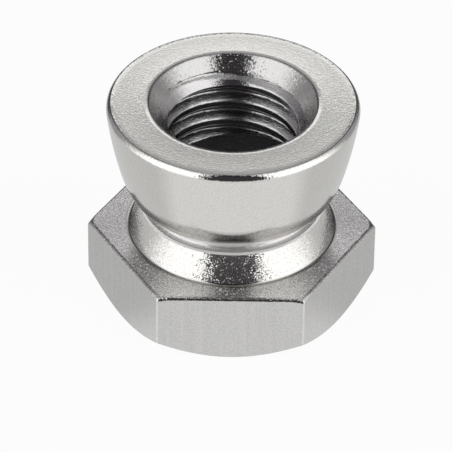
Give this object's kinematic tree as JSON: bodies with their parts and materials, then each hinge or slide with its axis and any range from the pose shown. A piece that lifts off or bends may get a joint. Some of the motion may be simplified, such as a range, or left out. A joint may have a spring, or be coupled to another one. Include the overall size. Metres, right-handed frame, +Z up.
{
  "type": "shear nut",
  "caption": "Turned steel shear nut: a threaded cone on a thin neck that breaks, with a hexagon to drive it.",
  "frame": {"origin": "centre of the round end face of the hexagon, which the nut stands on", "axes": "+Z up the bore's axis towards the wide end of the cone; two flats of the hexagon face -Y and +Y, and two of its corners lie on X"},
  "size_m": [0.0196, 0.017, 0.0151],
  "materials": {
    "turned_stainless": "bright turned and drawn stainless steel, low roughness, fine grain"
  },
  "bodies": {
    "root": {"shear_nut": "turned_stainless"}
  },
  "joints": []
}
